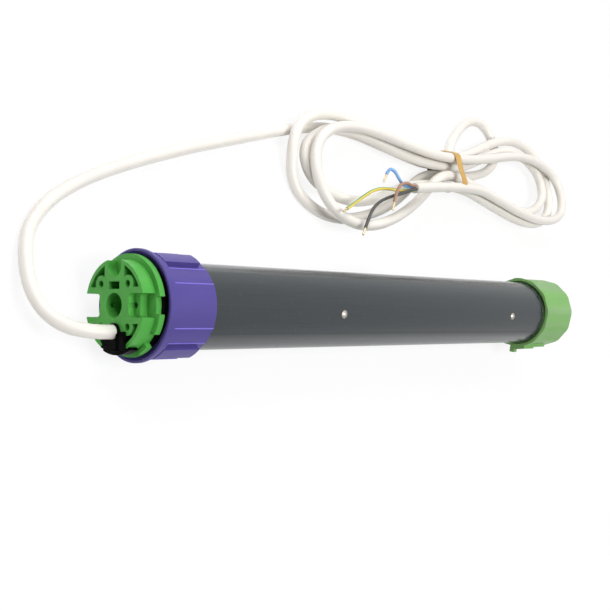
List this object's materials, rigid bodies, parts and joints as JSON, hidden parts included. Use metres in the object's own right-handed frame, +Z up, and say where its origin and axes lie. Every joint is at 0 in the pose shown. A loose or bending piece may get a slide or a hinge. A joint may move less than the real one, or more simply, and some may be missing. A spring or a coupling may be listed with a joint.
{
  "type": "tubular roller blind motor",
  "caption": "Long tube motor for a roller blind, with a limit-setting head and crown, a drive wheel at the far end and a bundled mains cable with bare core ends.",
  "frame": {"origin": "centre of the head's front face, on the motor's axis, where the bracket's stub enters", "axes": "+X along the motor's axis from the head to the drive wheel, +Z up, +Y sideways towards the bundled cable"},
  "size_m": [0.5655, 0.2075, 0.059],
  "materials": {
    "green_plastic": "satin",
    "violet_plastic": "satin",
    "black_plastic": "satin",
    "white_plastic": "satin",
    "painted_tube": "gloss",
    "steel": "satin",
    "aluminium": "satin",
    "laminated_steel": "satin",
    "cast_zinc": "satin",
    "copper": "gloss",
    "brass": "satin",
    "white_cable": "matte",
    "tan_rubber": "matte",
    "green_core": "satin",
    "blue_core": "satin",
    "brown_core": "satin",
    "black_core": "satin"
  },
  "bodies": {
    "frame": {"head_housing": "green_plastic", "cable_plug": "black_plastic", "plug_clip": "black_plastic", "plug_contacts": "brass", "neck_sleeve": "black_plastic", "motor_tube": "painted_tube", "tube_rivets": "steel", "limit_frame": "white_plastic", "limit_switch_up": "black_plastic", "limit_switch_down": "black_plastic", "capacitor": "aluminium", "capacitor_holder": "black_plastic", "front_shield": "aluminium", "rear_shield": "aluminium", "rotor_bearings": "steel", "stator_core": "laminated_steel", "windings": "copper", "brake_magnet": "steel", "brake_spring": "steel", "gearbox_cover": "aluminium", "ring_gear": "cast_zinc", "output_bearing": "cast_zinc", "end_flange": "cast_zinc", "mains_cable": "white_cable", "cable_hank": "white_cable", "hank_band": "tan_rubber", "core_earth": "green_core", "core_blue": "blue_core", "core_brown": "brown_core", "core_black": "black_core", "core_tips": "brass"},
    "output": {"drive_wheel": "green_plastic", "wheel_clip": "steel", "output_shaft": "steel"},
    "carrier_2": {"stage_2_carrier": "steel"},
    "carrier_1": {"stage_1_carrier": "steel"},
    "rotor": {"rotor_core": "laminated_steel", "rotor_shaft": "steel", "brake_disc": "black_plastic"},
    "crown": {"crown": "violet_plastic"},
    "limit_pinion": {"limit_pinion": "steel"},
    "limit_layshaft": {"limit_layshaft": "white_plastic"},
    "brake_armature": {"brake_armature": "steel"},
    "planet_1_1": {"planet_1_1": "white_plastic"},
    "planet_1_2": {"planet_1_2": "white_plastic"},
    "planet_1_3": {"planet_1_3": "white_plastic"},
    "planet_2_1": {"planet_2_1": "white_plastic"},
    "planet_2_2": {"planet_2_2": "white_plastic"},
    "planet_2_3": {"planet_2_3": "white_plastic"},
    "planet_3_1": {"planet_3_1": "steel"},
    "planet_3_2": {"planet_3_2": "steel"},
    "planet_3_3": {"planet_3_3": "steel"},
    "limit_spindle_up": {"limit_spindle_up": "steel"},
    "limit_nut_up": {"limit_nut_up": "white_plastic"},
    "switch_plunger_up": {"switch_plunger_up": "white_plastic"},
    "limit_adjuster_up": {"limit_adjuster_up": "white_plastic"},
    "limit_spindle_down": {"limit_spindle_down": "steel"},
    "limit_nut_down": {"limit_nut_down": "white_plastic"},
    "switch_plunger_down": {"switch_plunger_down": "white_plastic"},
    "limit_adjuster_down": {"limit_adjuster_down": "white_plastic"}
  },
  "joints": [
    {"name": "wheel_spin", "type": "hinge", "parent": "frame", "child": "output", "pos_m": [0.4, 0, 0], "axis": [1, 0, 0], "continuous": true},
    {"name": "carrier_2_spin", "type": "hinge", "parent": "frame", "child": "carrier_2", "pos_m": [0.34, 0, 0], "axis": [1, 0, 0], "continuous": true},
    {"name": "carrier_1_spin", "type": "hinge", "parent": "frame", "child": "carrier_1", "pos_m": [0.31, 0, 0], "axis": [1, 0, 0], "continuous": true},
    {"name": "rotor_spin", "type": "hinge", "parent": "frame", "child": "rotor", "pos_m": [0.198, 0, 0], "axis": [1, 0, 0], "continuous": true},
    {"name": "planet_1_1_spin", "type": "hinge", "parent": "carrier_1", "child": "planet_1_1", "pos_m": [0.3, -0.00279, 0.01121], "axis": [1, 0, 0], "continuous": true},
    {"name": "planet_1_2_spin", "type": "hinge", "parent": "carrier_1", "child": "planet_1_2", "pos_m": [0.3, 0.0111, -0.00318], "axis": [1, 0, 0], "continuous": true},
    {"name": "planet_1_3_spin", "type": "hinge", "parent": "carrier_1", "child": "planet_1_3", "pos_m": [0.3, -0.00831, -0.00802], "axis": [1, 0, 0], "continuous": true},
    {"name": "planet_2_1_spin", "type": "hinge", "parent": "carrier_2", "child": "planet_2_1", "pos_m": [0.325, -0.00279, 0.01121], "axis": [1, 0, 0], "continuous": true},
    {"name": "planet_2_2_spin", "type": "hinge", "parent": "carrier_2", "child": "planet_2_2", "pos_m": [0.325, 0.0111, -0.00318], "axis": [1, 0, 0], "continuous": true},
    {"name": "planet_2_3_spin", "type": "hinge", "parent": "carrier_2", "child": "planet_2_3", "pos_m": [0.325, -0.00831, -0.00802], "axis": [1, 0, 0], "continuous": true},
    {"name": "planet_3_1_spin", "type": "hinge", "parent": "output", "child": "planet_3_1", "pos_m": [0.35, -0.00279, 0.01121], "axis": [1, 0, 0], "continuous": true},
    {"name": "planet_3_2_spin", "type": "hinge", "parent": "output", "child": "planet_3_2", "pos_m": [0.35, 0.0111, -0.00318], "axis": [1, 0, 0], "continuous": true},
    {"name": "planet_3_3_spin", "type": "hinge", "parent": "output", "child": "planet_3_3", "pos_m": [0.35, -0.00831, -0.00802], "axis": [1, 0, 0], "continuous": true},
    {"name": "crown_spin", "type": "hinge", "parent": "frame", "child": "crown", "pos_m": [0.033, 0, 0], "axis": [1, 0, 0], "range_deg": [-8280, 8280]},
    {"name": "limit_pinion_spin", "type": "hinge", "parent": "frame", "child": "limit_pinion", "pos_m": [0.06, 0.01747, 0.00436], "axis": [1, 0, 0], "range_deg": [-33124, 33124]},
    {"name": "limit_layshaft_spin", "type": "hinge", "parent": "frame", "child": "limit_layshaft", "pos_m": [0.065, 0, 0], "axis": [1, 0, 0], "range_deg": [-6624.8, 6624.8]},
    {"name": "limit_spindle_up_spin", "type": "hinge", "parent": "frame", "child": "limit_spindle_up", "pos_m": [0.065, -0.00314, 0.01261], "axis": [1, 0, 0], "range_deg": [-4140.5, 4140.5]},
    {"name": "limit_nut_up_slide", "type": "slide", "parent": "frame", "child": "limit_nut_up", "axis": [1, 0, 0], "range_m": [-0.01035, 0.01035]},
    {"name": "switch_plunger_up_press", "type": "slide", "parent": "frame", "child": "switch_plunger_up", "axis": [0, -0.9703, -0.2419], "range_m": [0, 0.0006], "stiffness_N_per_m": 800, "springref_m": -0.0002},
    {"name": "limit_adjuster_up_turn", "type": "hinge", "parent": "frame", "child": "limit_adjuster_up", "pos_m": [0.02, -0.00314, 0.01261], "axis": [1, 0, 0], "continuous": true},
    {"name": "limit_spindle_down_spin", "type": "hinge", "parent": "frame", "child": "limit_spindle_down", "pos_m": [0.065, 0.00314, -0.01261], "axis": [1, 0, 0], "range_deg": [-4140.5, 4140.5]},
    {"name": "limit_nut_down_slide", "type": "slide", "parent": "frame", "child": "limit_nut_down", "axis": [1, 0, 0], "range_m": [-0.01035, 0.01035]},
    {"name": "switch_plunger_down_press", "type": "slide", "parent": "frame", "child": "switch_plunger_down", "axis": [0, -0.9703, -0.2419], "range_m": [0, 0.0006], "stiffness_N_per_m": 800, "springref_m": -0.0002},
    {"name": "limit_adjuster_down_turn", "type": "hinge", "parent": "frame", "child": "limit_adjuster_down", "pos_m": [0.02, 0.00314, -0.01261], "axis": [1, 0, 0], "continuous": true},
    {"name": "brake_armature_pull", "type": "slide", "parent": "frame", "child": "brake_armature", "axis": [1, 0, 0], "range_m": [-0.00035, 0], "stiffness_N_per_m": 3000, "springref_m": 0.0005}
  ],
  "couplings": [
    {"joint": "carrier_2_spin", "follows": "wheel_spin", "ratio": 5.5},
    {"joint": "carrier_1_spin", "follows": "wheel_spin", "ratio": 30.25},
    {"joint": "rotor_spin", "follows": "wheel_spin", "ratio": 166.38},
    {"joint": "planet_1_1_spin", "follows": "wheel_spin", "ratio": -77.786},
    {"joint": "planet_1_2_spin", "follows": "wheel_spin", "ratio": -77.786},
    {"joint": "planet_1_3_spin", "follows": "wheel_spin", "ratio": -77.786},
    {"joint": "planet_2_1_spin", "follows": "wheel_spin", "ratio": -14.143},
    {"joint": "planet_2_2_spin", "follows": "wheel_spin", "ratio": -14.143},
    {"joint": "planet_2_3_spin", "follows": "wheel_spin", "ratio": -14.143},
    {"joint": "planet_3_1_spin", "follows": "wheel_spin", "ratio": -2.5714},
    {"joint": "planet_3_2_spin", "follows": "wheel_spin", "ratio": -2.5714},
    {"joint": "planet_3_3_spin", "follows": "wheel_spin", "ratio": -2.5714},
    {"joint": "limit_pinion_spin", "follows": "crown_spin", "ratio": 4},
    {"joint": "limit_layshaft_spin", "follows": "crown_spin", "ratio": -0.8},
    {"joint": "limit_spindle_up_spin", "follows": "crown_spin", "ratio": 0.5},
    {"joint": "limit_nut_up_slide", "follows": "crown_spin", "m_per_rad": 0.00007162},
    {"joint": "limit_spindle_down_spin", "follows": "crown_spin", "ratio": 0.5},
    {"joint": "limit_nut_down_slide", "follows": "crown_spin", "m_per_rad": 0.00007162}
  ]
}
